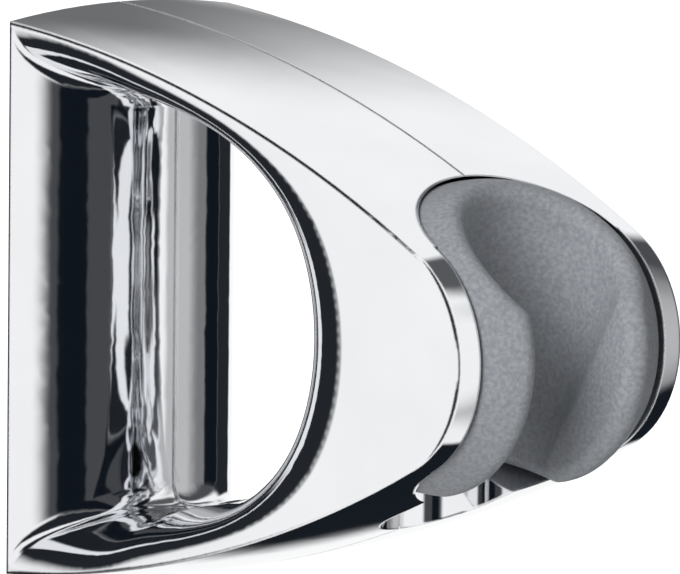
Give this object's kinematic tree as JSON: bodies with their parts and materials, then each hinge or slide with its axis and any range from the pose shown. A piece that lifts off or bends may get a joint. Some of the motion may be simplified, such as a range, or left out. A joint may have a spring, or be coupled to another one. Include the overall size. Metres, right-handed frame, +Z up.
{
  "type": "hand shower holder",
  "caption": "Wall-mounted hand shower holder: hollow chrome bracket with a D-shaped opening, carrying a tilting plastic cradle with a slotted cone seat.",
  "frame": {"origin": "centre of the back face, which lies on the wall", "axes": "+X to the right seen from the front, +Y into the wall, +Z up"},
  "size_m": [0.043, 0.0986, 0.0832],
  "materials": {
    "chrome": "polished chrome plating",
    "cradle_plastic": "grey, fine matte grain",
    "core_plastic": "moulded, matte",
    "bearing_plastic": "slippery, natural white",
    "steel": "stainless, plain",
    "brass": "turned"
  },
  "bodies": {
    "bracket": {"left_shell": "chrome", "right_shell": "chrome", "mounting_core": "core_plastic", "wall_plate": "steel", "core_screws": "steel", "shell_dowels": "steel", "threaded_insert": "brass", "grub_screw": "steel", "left_bush": "bearing_plastic", "right_bush": "bearing_plastic"},
    "cradle_unit": {"cradle": "cradle_plastic", "left_pivot_pin": "steel", "left_friction_washer": "bearing_plastic", "left_spring_washer": "steel", "right_pivot_pin": "steel", "right_friction_washer": "bearing_plastic", "right_spring_washer": "steel"}
  },
  "joints": [
    {"name": "cradle_tilt", "type": "hinge", "parent": "bracket", "child": "cradle_unit", "pos_m": [0, -0.078, 0], "axis": [1, 0, 0], "range_deg": [-12, 8]}
  ]
}
